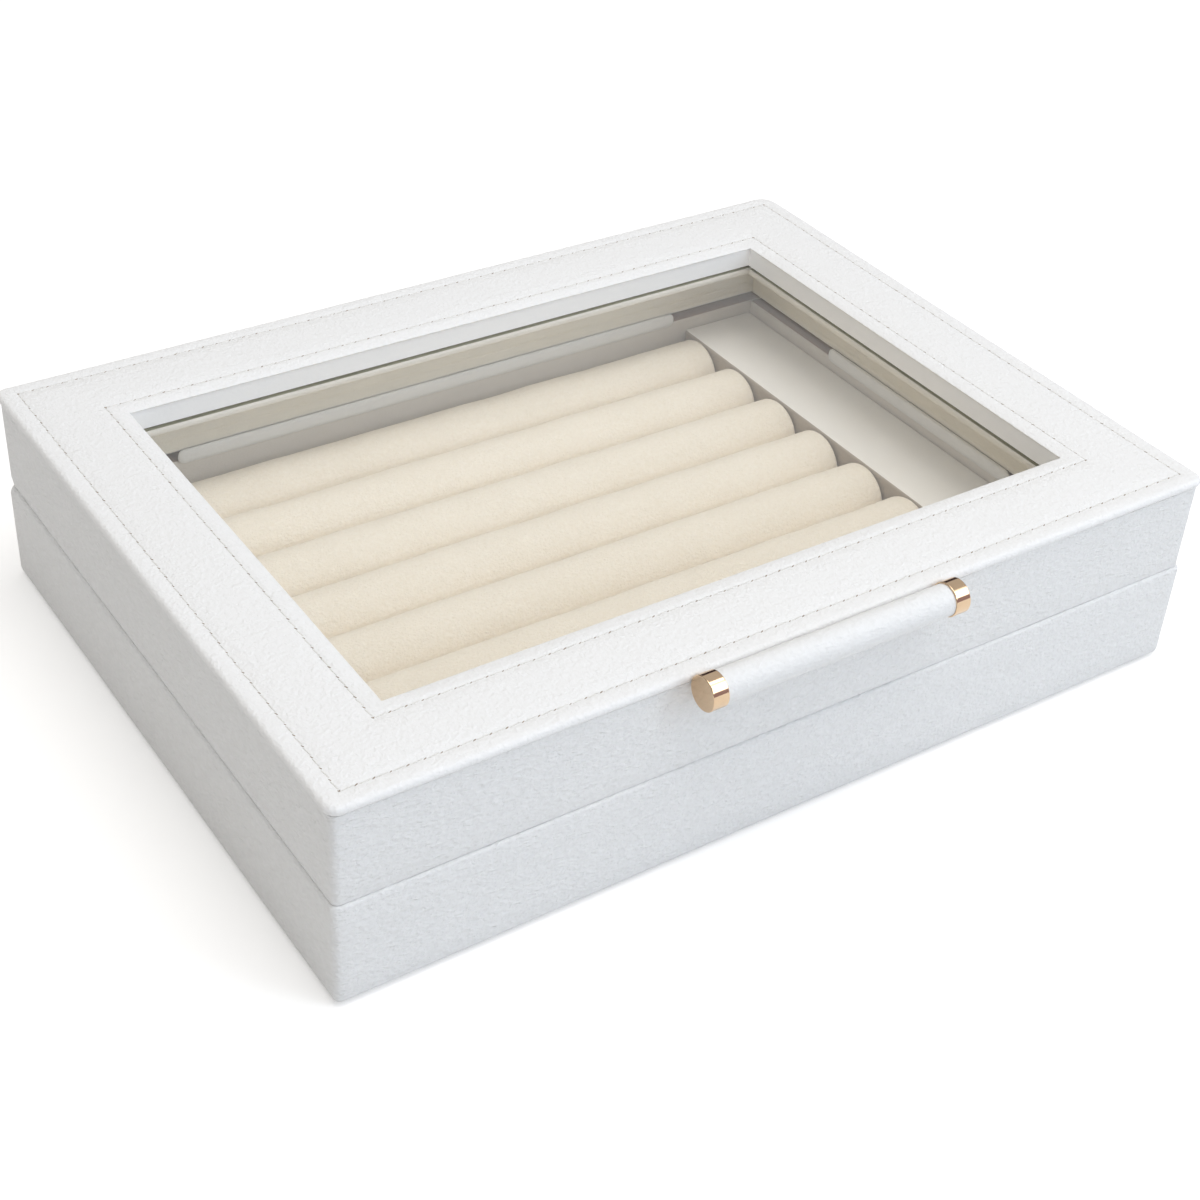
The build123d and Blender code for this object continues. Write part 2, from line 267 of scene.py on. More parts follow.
def addPlaces(owner, stretch):
    # the object's own coordinates, plain and stretched
    place = addNode(owner, "TexCoord")
    stretched = addNode(owner, "Mapping", Scale=stretch)
    wire(owner, (place, "Object"), (stretched, "Vector"))
    return (place, "Object"), (stretched, "Vector")


def addNoise(owner, place, **values):
    node = addNode(owner, "TexNoise", **values)
    wire(owner, place, (node, "Vector"))
    return node, "Fac"


def addCells(owner, place, **values):
    node = addNode(owner, "TexVoronoi", **values)
    wire(owner, place, (node, "Vector"))
    return node, "Distance"


def multiplyColours(owner, factor, a, b):
    mixed = addNode(owner, "Mix", data_type="RGBA", blend_type="MULTIPLY", Factor=factor)
    wire(owner, a, (mixed, "A"))
    wire(owner, b, (mixed, "B"))
    return mixed, "Result"


def addBump(owner, height, distance, strength, before=None):
    bump = addNode(owner, "Bump", Strength=strength, Distance=distance)
    wire(owner, height, (bump, "Height"))
    if before:
        wire(owner, before, (bump, "Normal"))
    return bump, "Normal"


def endMaterial(material, out, links, **values):
    surface = addNode(material, "BsdfPrincipled", **values)
    for socket, source in links.items():
        wire(material, source, (surface, socket))
    wire(material, (surface, "BSDF"), (out, "Surface"))
    return material


def makeLeatherette(name, look):
    # grained imitation leather: soft wrinkles, a fine pebble and pores, nearly even in colour
    m, out = startMaterial(name)
    place, stretched = addPlaces(m, look["stretch"])
    wrinkles = addNoise(m, stretched, Scale=look["wrinkleScale"], Detail=3.0, Distortion=0.6)
    pebble = addCells(m, stretched, feature="SMOOTH_F1", Scale=look["pebbleScale"])
    pores = addNoise(m, place, Scale=look["poreScale"], Detail=2.0)
    drift = addNoise(m, place, Scale=look["driftScale"], Detail=2.0)
    tone = blendColour(m, wrinkles, look["creviceColour"], look["colour"])
    driftTone = blendColour(m, drift, look["driftColour"], (1, 1, 1))
    rough = addRange(m, pores, To_Min=look["roughLow"], To_Max=look["roughHigh"])
    bump = addBump(m, wrinkles, look["wrinkleDepth"], look["wrinkleStrength"])
    bump = addBump(m, pebble, look["pebbleDepth"], look["pebbleStrength"], bump)
    bump = addBump(m, pores, look["poreDepth"], 0.5, bump)
    return endMaterial(m, out, {
        "Base Color": multiplyColours(m, look["drift"], tone, driftTone),
        "Roughness": rough, "Normal": bump,
    }, IOR=1.45, Specular_IOR_Level=look["gloss"])


def makeVelvet(name, look):
    # short brushed nap: fine speckle, slow patches where it lies another way, soft sheen
    m, out = startMaterial(name)
    place, stretched = addPlaces(m, look["stretch"])
    fuzz = addNoise(m, stretched, Scale=look["fuzzScale"], Detail=4.0, Roughness=0.7)
    tufts = addCells(m, stretched, Scale=look["tuftScale"])
    patches = addNoise(m, place, Scale=look["patchScale"], Detail=2.0)
    speckle = addRange(m, fuzz, From_Min=0.3, From_Max=0.7)
    tone = blendColour(m, speckle, look["deepColour"], look["colour"])
    patchTone = blendColour(m, patches, look["patchColour"], (1, 1, 1))
    bump = addBump(m, tufts, look["tuftDepth"], 0.5)
    bump = addBump(m, fuzz, look["fuzzDepth"], 0.7, bump)
    return endMaterial(m, out, {
        "Base Color": multiplyColours(m, look["patch"], tone, patchTone), "Normal": bump,
    }, Roughness=0.95, Specular_IOR_Level=0.15, Sheen_Weight=look["sheen"], Sheen_Roughness=0.45)


def makeMetal(name, look):
    # polished plate with faint turning lines and a little haze
    m, out = startMaterial(name)
    place, stretched = addPlaces(m, look["lineStretch"])
    haze = addNoise(m, place, Scale=look["hazeScale"], Detail=5.0)
    lines = addNoise(m, stretched, Scale=look["lineScale"], Detail=2.0)
    return endMaterial(m, out, {
        "Base Color": blendColour(m, haze, look["lowColour"], look["colour"]),
        "Roughness": addRange(m, haze, To_Min=look["roughLow"], To_Max=look["roughHigh"]),
        "Normal": addBump(m, lines, look["lineDepth"], 0.4),
    }, Metallic=1.0)


def makeFibreboard(name, look):
    # pressed fibres: tangled flecks in two tones
    m, out = startMaterial(name)
    place = (addNode(m, "TexCoord"), "Object")
    flecks = addNoise(m, place, Scale=look["fleckScale"], Detail=6.0, Roughness=0.75,
                      Distortion=0.8)
    return endMaterial(m, out, {
        "Base Color": blendColour(m, flecks, look["darkColour"], look["colour"]),
        "Normal": addBump(m, flecks, look["fleckDepth"], 0.5),
    }, Roughness=0.9, Specular_IOR_Level=0.2)


def makePaneGlass(look):
    # clear float glass that lets lamps and soft light through
    m, out = startMaterial("paneGlass")
    place = (addNode(m, "TexCoord"), "Object")
    dust = addNoise(m, place, Scale=look["dustScale"], Detail=4.0)
    pane = addNode(m, "BsdfGlass", Roughness=0.0, IOR=look["ior"])
    wire(m, blendColour(m, dust, look["hazeColour"], look["colour"]), (pane, "Color"))
    clear = addNode(m, "BsdfTransparent", Color=(*look["colour"], 1))
    path = addNode(m, "LightPath")
    passing = addMath(m, "MAXIMUM", (path, "Is Shadow Ray"), (path, "Is Diffuse Ray"))
    wire(m, mixShaders(m, passing, (pane, "BSDF"), (clear, "BSDF")), (out, "Surface"))
    return m


# the sides' leatherette is a darker copy with darker wrinkle hollows, painted shade on the sides
sideShadedLook = {
    "colour": (0.875, 0.875, 0.87), "creviceColour": (0.77, 0.765, 0.755),
    "driftColour": (0.97, 0.965, 0.955), "drift": 0.5, "driftScale": 14.0,
    "stretch": (0.75, 0.75, 1.3),
    "wrinkleScale": 740.0, "wrinkleDepth": 0.0006, "wrinkleStrength": 0.85,
    "pebbleScale": 1300.0, "pebbleDepth": 0.00025, "pebbleStrength": 0.75,
    "poreScale": 4200.0, "poreDepth": 0.00002, "roughLow": 0.46, "roughHigh": 0.6, "gloss": 0.35,
}
# the top's leatherette is a lighter copy of the sides', painted light on the top
topLitLook = {**sideShadedLook, "colour": (0.885, 0.88, 0.875), "creviceColour": (0.84, 0.832, 0.82),
           "wrinkleStrength": 0.5, "pebbleStrength": 0.5, "stretch": (1.0, 1.0, 1.0)}
handleLook = {**sideShadedLook, "wrinkleStrength": 0.5, "pebbleStrength": 0.45}
# the window reveal wears a lighter, cooler copy of the leatherette, painted light from the front
# lamp and its reflection in the glass
revealLitLook = {**sideShadedLook, "colour": (0.97, 0.98, 0.99), "creviceColour": (0.95, 0.96, 0.97),
              "wrinkleStrength": 0.12, "pebbleStrength": 0.12}
threadLook = {**sideShadedLook, "colour": (0.86, 0.85, 0.82), "creviceColour": (0.76, 0.74, 0.70),
              "wrinkleScale": 2600.0, "gloss": 0.3}
stripLook = {**sideShadedLook, "colour": (0.82, 0.805, 0.77), "creviceColour": (0.77, 0.755, 0.72),
             "wrinkleStrength": 0.2, "pebbleStrength": 0.2, "gloss": 0.3}
rollLook = {
    "colour": (0.925, 0.85, 0.732), "deepColour": (0.86, 0.77, 0.63),
    "patchColour": (0.95, 0.93, 0.89), "patch": 0.6, "patchScale": 60.0,
    "stretch": (0.75, 1.0, 1.0), "fuzzScale": 1300.0, "fuzzDepth": 0.0004,
    "tuftScale": 1900.0, "tuftDepth": 0.0002, "sheen": 0.2,
}
liningLook = {**rollLook, "colour": (0.88, 0.85, 0.795), "deepColour": (0.80, 0.77, 0.71),
              "fuzzScale": 2600.0, "fuzzDepth": 0.0001, "tuftDepth": 0.00005, "sheen": 0.12}
# the ledges wear a brighter copy of the lining velvet, painted light that makes up for the shade
# under the window frame
ledgeLitLook = {**liningLook, "colour": (0.945, 0.92, 0.875), "deepColour": (0.89, 0.86, 0.805)}
# a dark velvet tone that is painted shade in the gaps at the ends of the rolls
ledgeSideShadeLook = {**liningLook, "colour": (0.50, 0.44, 0.36), "deepColour": (0.40, 0.34, 0.28)}
# the base liners wear a darker, warmer copy of the lining velvet, painted shade under the lid
# with a warm tint that offsets the cool light there
baseLiningShadedLook = {**liningLook, "colour": (0.75, 0.695, 0.62), "deepColour": (0.68, 0.625, 0.555)}
# the lid liners wear a darker, warmer copy of the lining velvet, painted shade under the window
# frame
lidLiningShadedLook = {**liningLook, "colour": (0.86, 0.825, 0.74), "deepColour": (0.77, 0.73, 0.64)}
feltLook = {**liningLook, "colour": (0.76, 0.75, 0.72), "deepColour": (0.60, 0.59, 0.56),
            "fuzzScale": 900.0}
capLook = {
    "colour": (0.81, 0.605, 0.405), "lowColour": (0.64, 0.465, 0.31), "hazeScale": 220.0,
    "roughLow": 0.05, "roughHigh": 0.12,
    "lineScale": 600.0, "lineStretch": (20.0, 1.0, 1.0), "lineDepth": 0.000003,
}
hingeLook = {
    "colour": (0.74, 0.73, 0.71), "lowColour": (0.62, 0.61, 0.59), "hazeScale": 700.0,
    "roughLow": 0.22, "roughHigh": 0.38,
    "lineScale": 900.0, "lineStretch": (1.0, 12.0, 1.0), "lineDepth": 0.000006,
}
boardLook = {"colour": (0.76, 0.73, 0.67), "darkColour": (0.66, 0.63, 0.57),
             "fleckScale": 900.0, "fleckDepth": 0.0002}
# a dark brown tone that is painted shade in the corner gaps of the rim
cornerGapShadeLook = {**boardLook, "colour": (0.44, 0.32, 0.25), "darkColour": (0.34, 0.24, 0.18)}
dowelLook = {"colour": (0.60, 0.42, 0.26), "darkColour": (0.45, 0.30, 0.17),
             "fleckScale": 300.0, "fleckDepth": 0.0001}
# a dark olive tone that is painted shade and the green tint seen at the pane's edge
paneBedShadeLook = {"colour": (0.34, 0.33, 0.22), "darkColour": (0.26, 0.25, 0.16),
            "fleckScale": 1500.0, "fleckDepth": 0.00005}
# a dark brown tone that is painted shade in the needle holes
holeShadeLook = {"colour": (0.42, 0.36, 0.29), "darkColour": (0.27, 0.22, 0.18),
            "fleckScale": 2500.0, "fleckDepth": 0.0001}
glassLook = {"colour": (0.997, 0.998, 0.996), "hazeColour": (0.99, 0.992, 0.989),
             "dustScale": 90.0, "ior": 1.5}

sideShadedLeatherette = makeLeatherette("sideShadedLeatherette", sideShadedLook)
topLitLeatherette = makeLeatherette("topLitLeatherette", topLitLook)
stitchThread = makeLeatherette("stitchThread", threadLook)
handleLeatherette = makeLeatherette("handleLeatherette", handleLook)
revealLitLeatherette = makeLeatherette("revealLitLeatherette", revealLitLook)
stripCovering = makeLeatherette("stripCovering", stripLook)
rollVelvet = makeVelvet("rollVelvet", rollLook)
liningVelvet = makeVelvet("liningVelvet", liningLook)
ledgeLitVelvet = makeVelvet("ledgeLitVelvet", ledgeLitLook)
ledgeSidePaintedShade = makeVelvet("ledgeSidePaintedShade", ledgeSideShadeLook)
baseLiningShadedVelvet = makeVelvet("baseLiningShadedVelvet", baseLiningShadedLook)
lidLiningShadedVelvet = makeVelvet("lidLiningShadedVelvet", lidLiningShadedLook)
underFelt = makeVelvet("underFelt", feltLook)
roseGold = makeMetal("roseGold", capLook)
hingeNickel = makeMetal("hingeNickel", hingeLook)
rawBoard = makeFibreboard("rawBoard", boardLook)
linerEdge = makeFibreboard("linerEdge", cornerGapShadeLook)
turnedDowel = makeFibreboard("turnedDowel", dowelLook)
needleHoleShade = makeFibreboard("needleHoleShade", holeShadeLook)
paneBedShade = makeFibreboard("paneBedShade", paneBedShadeLook)
paneGlass = makePaneGlass(glassLook)
print("ring box: materials made")


for side in ("front", "back", "left", "right"):
    for part in ("base_wall_", "lid_wall_", "lid_board_"):
        dressNode(part + side, rawBoard)
for side in ("left", "right"):
    dressNode("handle_cap_" + side, roseGold)
    for part in ("hinge_base_leaf_", "hinge_lid_leaf_", "hinge_pin_"):
        dressNode(part + side, hingeNickel)
for name in ("hinge_base_screws", "hinge_lid_screws"):
    dressNode(name, hingeNickel)
dressNode("base_board", rawBoard)
dressNode("base_felt", underFelt)
dressNode("floor_lining", liningVelvet)
dressNode("window_lining", revealLitLeatherette)
dressNode("glass_pane", paneGlass)
dressNode("handle_dowel", turnedDowel)
print("ring box: carried-over nodes dressed")


hinge = {"y": 91.0 * mm, "z": 29.6 * mm, "slope": math.radians(51)}
skinBoard = {"thickness": 0.8 * mm, "grid": 9 * mm, "cornerClear": 13 * mm, "ripple": 0.16 * mm,
             "rippleSize": 35 * mm, "near": 0.05 * mm}
baseSkin = {
    **skinBoard, "halfX": 125.6 * mm, "halfY": 93.1 * mm, "low": 0.6 * mm, "high": 29.6 * mm,
    "corner": 1.9 * mm, "rimRound": 0.75 * mm, "footRound": 1.8 * mm,
    "turnInTop": 5.0 * mm, "turnInBottom": 12.0 * mm, "side": 1,
}
lidSkin = {
    **skinBoard, "halfX": 125.0 * mm, "halfY": 92.5 * mm, "low": 29.6 * mm, "high": 54.65 * mm,
    "corner": 1.8 * mm, "rimRound": 1.7 * mm, "footRound": 0.55 * mm,
    "turnInTop": 0, "turnInBottom": 5.0 * mm, "side": -1,
}
pocket = {"gap": 0.25 * mm, "leaf": 0.8 * mm, "clear": 0.12 * mm, "reach": 1 * mm,
          "barrel": 1.8 * mm, "sides": 40}
notch = {"half": 32.4 * mm, "front": -95 * mm, "back": -87 * mm, "low": 54.05 * mm,
         "high": 56 * mm}


def makeSkin(name, v):
    x, y, low, high, near = v["halfX"], v["halfY"], v["low"], v["high"], v["near"]
    skin = addBlock(name, (-x, -y, low), (x, y, high))
    startEdit(skin)
    outward = (0, math.sin(hinge["slope"]), v["side"] * math.cos(hinge["slope"]))
    bpy.ops.mesh.select_all(action="SELECT")
    bpy.ops.mesh.bisect(plane_co=(0, hinge["y"], hinge["z"]), plane_no=outward, use_fill=True,
                        clear_outer=True)
    turnIns = (v["turnInTop"], v["turnInBottom"])
    for axis, half in ((0, x), (1, y)):
        clear = half - v["cornerClear"]
        turns = [s * (half - t) for t in turnIns if t for s in (-1, 1)]
        cutAt(axes[axis], turns + steps(-clear, clear, v["grid"]))
    cutAt(axes[2], [low + (high - low) * part for part in (0.25, 0.5, 0.75)])
    for way, turnIn in zip((1, -1), turnIns):
        insideX, insideY = x - turnIn - near, y - turnIn - near
        pickFaces(skin, lambda c, n: n.z * way > squarely
                  and abs(c.x) < insideX and abs(c.y) < insideY)
        bpy.ops.mesh.delete(type="FACE")
    pickEdges(skin, lambda c, d, e: abs(abs(c.x) - x) < near and abs(d.y) < mostly and isFold(e)
              and (abs(abs(c.y) - y) < near or c.y > hinge["y"]))
    bpy.ops.mesh.bevel(offset=v["corner"], segments=5, affect="EDGES")
    for level, rounding in ((high, v["rimRound"]), (low, v["footRound"])):
        pickEdges(skin, lambda c, d, e: abs(c.z - level) < near and isFold(e))
        bpy.ops.mesh.bevel(offset=rounding, segments=3, affect="EDGES")
    endEdit()
    ripple(skin, v["ripple"], v["rippleSize"])
    applyModifier(skin, "SOLIDIFY", thickness=v["thickness"], offset=-1, use_even_offset=True)
    return skin


def cutHingePockets(skin, side, v):
    # room for the leaves and the knuckles; side is 1 for the base and -1 for the lid
    gap = v["gap"]
    for leaf in ("left", "right"):
        low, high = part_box(("hinge_base_leaf_" if side > 0 else "hinge_lid_leaf_") + leaf)
        ends = sorted((hinge["z"] - side * (v["leaf"] + v["clear"]),
                       hinge["z"] + side * v["reach"]))
        room = addBlock("pocket", (low.x - gap, low.y - gap, ends[0]),
                        (high.x + gap, hinge["y"] + v["reach"], ends[1]))
        combine(skin, room, "DIFFERENCE")
        barrel = addRod("barrel", v["sides"], v["barrel"], high.x - low.x + 2 * gap,
                        ((low.x + high.x) / 2, hinge["y"], hinge["z"]))
        combine(skin, barrel, "DIFFERENCE")


baseCovering = makeSkin("baseCovering", baseSkin)
cutHingePockets(baseCovering, 1, pocket)
dropSlivers(baseCovering)
smooth(baseCovering)
dress(baseCovering, sideShadedLeatherette, "leatherette", "base", "base_wrap")
lidCovering = makeSkin("lidCovering", lidSkin)
cutHingePockets(lidCovering, -1, pocket)
tabRoom = addBlock("notch", (-notch["half"], notch["front"], notch["low"]),
                   (notch["half"], notch["back"], notch["high"]))
combine(lidCovering, tabRoom, "DIFFERENCE")
dropSlivers(lidCovering)
smooth(lidCovering)
dress(lidCovering, sideShadedLeatherette, "leatherette", "lid", "lid_wrap")
print("ring box: skins done")


cover = {
    "halfX": 125.9 * mm, "halfY": 93.4 * mm, "low": 55.1 * mm, "high": 57.5 * mm,
    "windowX": 99.55 * mm, "windowY": 67.05 * mm, "slope": 3.2 * mm, "dip": 0.5 * mm,
    "lip": 0.5 * mm, "liningBack": 0.95 * mm, "lipRound": 0.2 * mm,
    "outerRow": 4.9 * mm, "innerRow": 4.6 * mm, "channel": 0.6 * mm, "channelDip": 0.16 * mm,
    "pad": 0.12 * mm, "padEdge": 3.4 * mm, "padFrom": 3.0 * mm, "padMiddle": 12 * mm,
    "topRound": 1.3 * mm, "underRound": 0.95 * mm, "grid": 8 * mm,
    "ripple": 0.14 * mm, "rippleSize": 30 * mm, "near": 0.03 * mm,
    "corners": {(-1, -1): 3.2 * mm, (1, -1): 3.4 * mm, (-1, 1): 3.0 * mm, (1, 1): 5.2 * mm},
}


def makeCover(v):
    x, y, low, high = v["halfX"], v["halfY"], v["low"], v["high"]
    wx, wy, near = v["windowX"], v["windowY"], v["near"]
    inner, channel, edge = v["innerRow"], v["channel"], v["padEdge"]
    outerRing = x - v["outerRow"] - wx
    piece = addBlock("lidTopCover", (-x, -y, low), (x, y, high))
    startEdit(piece)
    for (sx, sy), corner in v["corners"].items():
        pickEdges(piece, lambda c, d, e: abs(d.z) > mostly
                  and abs(c.x - sx * x) < near and abs(c.y - sy * y) < near)
        bpy.ops.mesh.bevel(offset=corner, segments=6, affect="EDGES")
    band = [0, v["slope"], inner - channel, inner, inner + channel, inner + edge, v["padMiddle"]]
    for direction, window, half in ((axes[0], wx, x), (axes[1], wy, y)):
        row = half - v["outerRow"]
        marks = [window + b for b in band] + [row - edge, row - channel, row, row + channel]
        cutAt(direction, [s * mark for mark in marks for s in (-1, 1)])
        cutAt(direction, steps(-window, window, v["grid"]))

    def outside(c):
        # how far outside the window's edge, in square rings
        return max(abs(c.x) - wx, abs(c.y) - wy)

    def ringAt(c, size):
        return abs(outside(c) - size) < near

    pickFaces(piece, lambda c, n: abs(n.z) > squarely and abs(c.x) < wx and abs(c.y) < wy)
    bpy.ops.mesh.delete(type="FACE")
    pickEdges(piece, lambda c, d, e: len(e.link_faces) == 1)
    bpy.ops.mesh.bridge_edge_loops()
    padFrom, padTo = inner + v["padFrom"], outerRing - v["padFrom"]
    lifts = (
        (lambda c: ringAt(c, 0), -v["dip"]),
        (lambda c: ringAt(c, inner) or ringAt(c, outerRing), -v["channelDip"]),
        (lambda c: padFrom < outside(c) < padTo, v["pad"]),
    )
    for test, lift in lifts:
        pickVerts(piece, lambda c: abs(c.z - high) < near and test(c))
        bpy.ops.transform.translate(value=(0, 0, lift))
    for level, rounding, segments in ((high, v["topRound"], 4), (low, v["underRound"], 2)):
        pickEdges(piece, lambda c, d, e: abs(c.z - level) < near and isFold(e, 60)
                  and outside(c) > outerRing)
        bpy.ops.mesh.bevel(offset=rounding, segments=segments, affect="EDGES")
    endEdit()
    bx, by = wx + v["liningBack"], wy + v["liningBack"]
    step = addBlock("step", (-bx, -by, low - 1 * mm), (bx, by, high - v["dip"] - v["lip"]))
    combine(piece, step, "DIFFERENCE")
    startEdit(piece)
    pickEdges(piece, lambda c, d, e: ringAt(c, 0) and abs(d.z) < 0.5 and isFold(e, 60))
    bpy.ops.mesh.bevel(offset=v["lipRound"], segments=3, affect="EDGES")
    endEdit()
    ripple(piece, v["ripple"], v["rippleSize"])
    smooth(piece, 40)
    return piece


lidTopCover = makeCover(cover)
dress(lidTopCover, topLitLeatherette, "leatherette", "lid", "lid_cover")
print("ring box: cover done")


stitch = {"pitch": 4.0 * mm, "length": 3.1 * mm, "thick": 0.46 * mm, "lean": 7.0,
          "lift": -0.08 * mm, "wobble": 0.04 * mm, "fade": 0.0}
hole = {"long": 0.66 * mm, "wide": 0.2 * mm, "deep": 0.12 * mm, "lean": 26.0,
        "lift": 0.0 * mm, "wobble": 0.05 * mm, "fade": 0.3}
ball = {"segments": 8, "ring_count": 6}
leanSpread = 3


def makeStitch(v):
    one = addShape(bpy.ops.mesh.primitive_uv_sphere_add, "oneStitch", **ball,
                   radius=v["thick"] / 2, rotation=(0, math.pi / 2, 0))
    startEdit(one)
    for s in (1, -1):
        pickVerts(one, lambda c: c.x * s > 0.05 * mm)
        bpy.ops.transform.translate(value=(s * (v["length"] - v["thick"]) / 2, 0, 0))
    endEdit()
    return one


def makeHole(v):
    return addShape(bpy.ops.mesh.primitive_uv_sphere_add, "oneHole", **ball,
                    radius=1, scale=(v["long"], v["wide"], v["deep"]))


def rowPlaces(halfX, halfY, pitch):
    # stitch middles and the gaps between them round a rectangle, with the way each faces
    middles, gaps = [], []
    for axis, half, across in ((0, halfX, halfY), (1, halfY, halfX)):
        count = round(2 * half / pitch)
        turn = axis * math.pi / 2
        for s in (-1, 1):
            for i in range(2 * count + 1):
                along = -half + half * i / count
                spot = (along, s * across) if axis == 0 else (s * across, along)
                (middles if i % 2 else gaps).append((*spot, turn))
    return middles, gaps


def lay(name, one, places, v):
    # copies of one stitch or hole on the cover, each with its own place, lean and size
    copies = []
    for x, y, turn in places:
        copy = one.copy()
        copy.data = one.data.copy()
        bpy.context.collection.objects.link(copy)
        x += random.uniform(-v["wobble"], v["wobble"])
        y += random.uniform(-v["wobble"], v["wobble"])
        top = lidTopCover.ray_cast((x, y, 0.1), (0, 0, -1))[1]
        lean = math.radians(v["lean"] + random.uniform(-leanSpread, leanSpread))
        size = 1 - random.uniform(0, v["fade"])
        copy.matrix_world = (Matrix.Translation((x, y, top.z + v["lift"]))
                             @ Matrix.Rotation(turn + lean, 4, "Z") @ Matrix.Scale(size, 4))
        copies.append(copy)
    bpy.ops.object.select_all(action="DESELECT")
    for copy in copies:
        copy.select_set(True)
    bpy.context.view_layer.objects.active = copies[0]
    bpy.ops.object.join()
    row = bpy.context.object
    row.name = row.data.name = name
    bpy.ops.object.transform_apply(location=True, rotation=True, scale=True)
    smooth(row, 60)
    bpy.data.objects.remove(one)
    return row


rows = {
    "outer": (cover["halfX"] - cover["outerRow"], cover["halfY"] - cover["outerRow"]),
    "inner": (cover["windowX"] + cover["innerRow"], cover["windowY"] + cover["innerRow"]),
}
for rowName, (halfX, halfY) in rows.items():
    middles, gaps = rowPlaces(halfX, halfY, stitch["pitch"])
    thread = lay(rowName + "Stitches", makeStitch(stitch), middles, stitch)
    dress(thread, stitchThread, "leatherette", "lid")
    # dark ovals at the gaps between stitches, painted shade of the needle holes
    holes = lay(rowName + "StitchHoles", makeHole(hole), gaps, hole)
    dress(holes, needleHoleShade, "leatherette", "lid")
print("ring box: stitches sewn")


lining = {"round": 0.7 * mm, "grid": 12 * mm, "ripple": 0.1 * mm, "rippleSize": 20 * mm,
          "gap": 0.02 * mm}
baseLining = {**lining, "drop": 0.7 * mm}
# how far the painted corner shade runs in past the ends of the strips
cornerShadeOverlap = 6 * mm
ledge = {**lining, "round": 1.1 * mm, "grid": 9 * mm, "ripple": 0.3 * mm}
strip = {"round": 0.2 * mm, "grid": 12 * mm, "ripple": 0.06 * mm, "rippleSize": 20 * mm,
         "gap": 0.02 * mm, "lean": 0.22 * mm, "endRound": 1.9 * mm, "bulge": 0.5 * mm,
         "slopes": ((0.5 * mm, 0.7), (0.9 * mm, 0.3))}


def makeSoftBoard(name, node, v):
    low, high = boxInside(node, v["gap"])
    high.z -= v.get("drop", 0)
    board = addBlock(name, low, high)
    startEdit(board)
    for axis in range(3):
        if high[axis] - low[axis] > 4 * v["round"]:
            ends = [low[axis] + 2 * v["round"], high[axis] - 2 * v["round"]]
            cutAt(axes[axis], ends + steps(*ends, v["grid"]))
    pickEdges(board, lambda c, d, e: isFold(e, 60))
    bpy.ops.mesh.bevel(offset=v["round"], segments=4, affect="EDGES")
    endEdit()
    ripple(board, v["ripple"], v["rippleSize"])
    smooth(board, 50)
    return board


def makeRimStrip(name, node, v):
    # a flat strip with round ends that bulges on the side that is seen
    low, high = boxInside(node, v["gap"])
    across = 0 if abs((low + high).x) > abs((low + high).y) else 1
    along = 1 - across
    seen = -1 if (low + high)[across] > 0 else 1
    wallSide, openSide = (high, low) if seen < 0 else (low, high)
    wallSide[across] -= seen * v["lean"]
    openSide[across] -= seen * v["bulge"]
    piece = addBlock(name, low, high)
    startEdit(piece)
    pickEdges(piece, lambda c, d, e: abs(d[across]) > mostly)
    bpy.ops.mesh.bevel(offset=v["endRound"], segments=6, affect="EDGES")
    pickFaces(piece, lambda c, n: n[across] * seen > mostly)
    for width, share in v["slopes"]:
        bpy.ops.mesh.inset(thickness=width, depth=v["bulge"] * share)
    clear = 2 * v["endRound"]
    cutAt(axes[along], steps(low[along] + clear, high[along] - clear, v["grid"]))
    pickEdges(piece, lambda c, d, e: isFold(e, 40))
    bpy.ops.mesh.bevel(offset=v["round"], segments=3, affect="EDGES")
    endEdit()
    ripple(piece, v["ripple"], v["rippleSize"])
    smooth(piece, 50)
    return piece


def scenePieceName(node):
    words = node.split("_")
    return words[0] + "".join(w.title() for w in words[1:])


for side in ("front", "back", "left", "right"):
    node = "base_liner_" + side
    board = makeSoftBoard(scenePieceName(node), node, baseLining)
    dress(board, baseLiningShadedVelvet, "lining_velvet", "base", node)
    stripLow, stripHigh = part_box("rim_strip_" + side)
    along = 0 if side in ("front", "back") else 1
    # the liner tops in the corners of the rim, from a little inside the ends of the strips
    # outward, are painted dark brown as the shade in the corner gaps
    paintFaces(board, linerEdge, lambda c, n: n.z > mostly and not (
        stripLow[along] + cornerShadeOverlap < c[along] < stripHigh[along] - cornerShadeOverlap))
    node = "lid_liner_" + side
    board = makeSoftBoard(scenePieceName(node), node, lining)
    dress(board, lidLiningShadedVelvet, "lining_velvet", "lid", node)
    node = "glass_retainer_" + side
    board = makeSoftBoard(scenePieceName(node), node, lining)
    dress(board, liningVelvet, "lining_velvet", "lid", node)
    paintFaces(board, paneBedShade, lambda c, n: n.z > mostly)  # dark olive on the top that beds the pane, painted shade and the green tint of the pane's edge
    node = "rim_strip_" + side
    board = makeRimStrip(scenePieceName(node), node, strip)
    dress(board, stripCovering, "rim_strip", "base", node)
for side in ("left", "right"):
    block = makeSoftBoard("rollLedge" + side.title(), "ring_ledge_" + side, ledge)
    dress(block, ledgeLitVelvet, "lining_velvet", "base", "ring_ledge_" + side)
    # the side that faces the ends of the rolls is painted dark, as the shade deep in the gaps at
    # the roll ends
    paintFaces(block, ledgeSidePaintedShade, lambda c, n: n.x * c.x < 0 and abs(n.x) > 0.7)
print("ring box: linings done")


roll = {"endRound": 1.5 * mm, "crown": 0.35 * mm, "grid": 5 * mm, "endClear": 5 * mm,
        "ripple": 0.55 * mm, "rippleSize": 14 * mm, "sides": 48,
        "dome": ((1.9 * mm, 0), (2.4 * mm, 0.6), (2.0 * mm, 0.35))}


